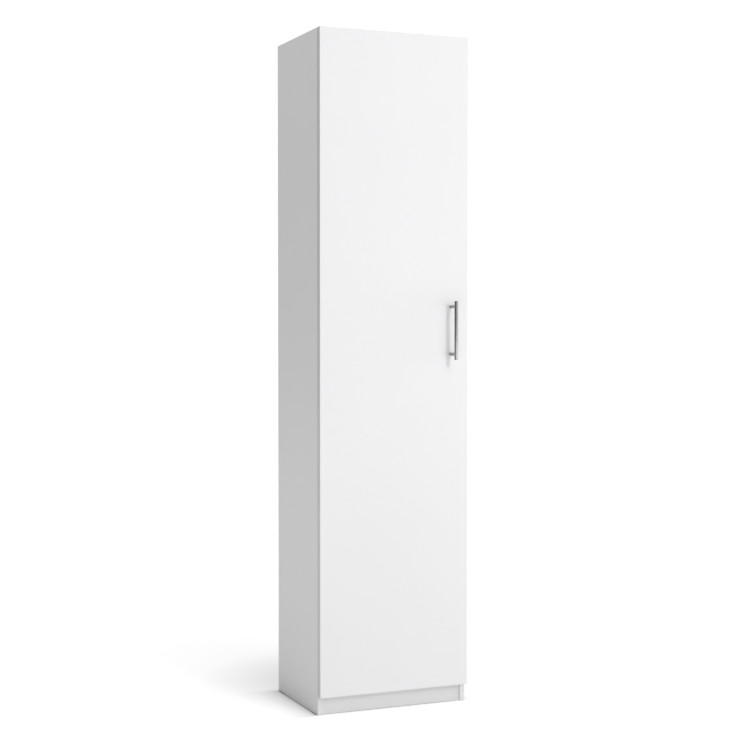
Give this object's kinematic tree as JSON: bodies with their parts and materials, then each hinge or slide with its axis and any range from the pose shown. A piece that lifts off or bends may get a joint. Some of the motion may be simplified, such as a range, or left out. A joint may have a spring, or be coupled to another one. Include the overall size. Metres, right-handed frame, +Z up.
{
  "type": "broom cupboard",
  "caption": "Tall narrow white flat-pack cupboard with one full-height hinged door, a steel bar handle, a recessed plinth and one fixed shelf above a tall broom space.",
  "frame": {"origin": "on the floor under the middle of the whole cupboard's box, handle included", "axes": "+Z up; -Y out of the front, where the door is; +X to the handle side, the hinges are on -X"},
  "size_m": [0.428, 0.3643, 1.8],
  "materials": {
    "melamine_board": "white melamine-faced chipboard, satin",
    "edging": "white melamine edging, satin",
    "hardboard": "hardboard, lacquered white inside, bare brown outside",
    "profile_plastic": "white extruded plastic",
    "glide_plastic": "grey moulded plastic",
    "bumper_rubber": "clear soft dot",
    "zinc_steel": "zinc-plated",
    "cast_zinc": "die-cast",
    "dowel_wood": "fluted beech",
    "handle_steel": "brushed along the bar",
    "hinge_nickel": "nickel-plated pressed steel"
  },
  "bodies": {
    "carcass": {"side_panel_left": "melamine_board", "side_panel_right": "melamine_board", "top_panel": "melamine_board", "bottom_panel": "melamine_board", "fixed_shelf": "melamine_board", "plinth_board": "melamine_board", "carcass_edge_bands": "edging", "back_panel_upper": "hardboard", "back_panel_lower": "hardboard", "back_joint_profile": "profile_plastic", "back_panel_nails": "zinc_steel", "cam_locks": "cast_zinc", "cam_bolts": "zinc_steel", "wood_dowels": "dowel_wood", "cam_covers": "profile_plastic", "floor_glides": "glide_plastic", "wall_bracket": "zinc_steel", "wall_bracket_screws": "zinc_steel", "hinge_plate_screws": "zinc_steel", "hinge_arm_screws": "zinc_steel", "hinge_arm_pins": "hinge_nickel", "hinge_plate_1": "hinge_nickel", "hinge_plate_2": "hinge_nickel", "hinge_plate_3": "hinge_nickel", "hinge_plate_4": "hinge_nickel", "hinge_arm_1": "hinge_nickel", "hinge_arm_2": "hinge_nickel", "hinge_arm_3": "hinge_nickel", "hinge_arm_4": "hinge_nickel"},
    "door": {"door_panel": "melamine_board", "door_edge_bands": "edging", "door_bumpers": "bumper_rubber", "handle_bar": "handle_steel", "handle_posts": "handle_steel", "handle_screws": "zinc_steel", "hinge_cup_screws": "zinc_steel", "hinge_cup_pins": "hinge_nickel", "hinge_cup_1": "hinge_nickel", "hinge_cup_2": "hinge_nickel", "hinge_cup_3": "hinge_nickel", "hinge_cup_4": "hinge_nickel"},
    "hinge_outer_link_1": {"hinge_outer_link_1": "hinge_nickel"},
    "hinge_outer_link_2": {"hinge_outer_link_2": "hinge_nickel"},
    "hinge_outer_link_3": {"hinge_outer_link_3": "hinge_nickel"},
    "hinge_outer_link_4": {"hinge_outer_link_4": "hinge_nickel"},
    "hinge_inner_link_1": {"hinge_inner_link_1": "hinge_nickel"},
    "hinge_inner_link_2": {"hinge_inner_link_2": "hinge_nickel"},
    "hinge_inner_link_3": {"hinge_inner_link_3": "hinge_nickel"},
    "hinge_inner_link_4": {"hinge_inner_link_4": "hinge_nickel"}
  },
  "joints": [
    {"name": "door_turn", "type": "hinge", "parent": "hinge_outer_link_1", "child": "door", "pos_m": [-0.2023, -0.13215, 0.14], "axis": [0, 0, -1], "range_deg": [0, 149.8]},
    {"name": "outer_link_swing_1", "type": "hinge", "parent": "carcass", "child": "hinge_outer_link_1", "pos_m": [-0.1815, -0.12205, 0.14], "axis": [0, 0, 1], "range_deg": [0, 44.9]},
    {"name": "inner_link_swing_1", "type": "hinge", "parent": "carcass", "child": "hinge_inner_link_1", "pos_m": [-0.1755, -0.12565, 0.14], "axis": [0, 0, 1], "range_deg": [0, 21.8]},
    {"name": "outer_link_swing_2", "type": "hinge", "parent": "carcass", "child": "hinge_outer_link_2", "pos_m": [-0.1815, -0.12205, 0.66333], "axis": [0, 0, 1], "range_deg": [0, 44.9]},
    {"name": "inner_link_swing_2", "type": "hinge", "parent": "carcass", "child": "hinge_inner_link_2", "pos_m": [-0.1755, -0.12565, 0.66333], "axis": [0, 0, 1], "range_deg": [0, 21.8]},
    {"name": "outer_link_swing_3", "type": "hinge", "parent": "carcass", "child": "hinge_outer_link_3", "pos_m": [-0.1815, -0.12205, 1.18667], "axis": [0, 0, 1], "range_deg": [0, 44.9]},
    {"name": "inner_link_swing_3", "type": "hinge", "parent": "carcass", "child": "hinge_inner_link_3", "pos_m": [-0.1755, -0.12565, 1.18667], "axis": [0, 0, 1], "range_deg": [0, 21.8]},
    {"name": "outer_link_swing_4", "type": "hinge", "parent": "carcass", "child": "hinge_outer_link_4", "pos_m": [-0.1815, -0.12205, 1.71], "axis": [0, 0, 1], "range_deg": [0, 44.9]},
    {"name": "inner_link_swing_4", "type": "hinge", "parent": "carcass", "child": "hinge_inner_link_4", "pos_m": [-0.1755, -0.12565, 1.71], "axis": [0, 0, 1], "range_deg": [0, 21.8]}
  ],
  "couplings": [
    {"joint": "outer_link_swing_1", "follows": "door_turn", "ratio": 0.29923},
    {"joint": "inner_link_swing_1", "follows": "door_turn", "ratio": 0.14506},
    {"joint": "outer_link_swing_2", "follows": "door_turn", "ratio": 0.29923},
    {"joint": "inner_link_swing_2", "follows": "door_turn", "ratio": 0.14506},
    {"joint": "outer_link_swing_3", "follows": "door_turn", "ratio": 0.29923},
    {"joint": "inner_link_swing_3", "follows": "door_turn", "ratio": 0.14506},
    {"joint": "outer_link_swing_4", "follows": "door_turn", "ratio": 0.29923},
    {"joint": "inner_link_swing_4", "follows": "door_turn", "ratio": 0.14506}
  ]
}
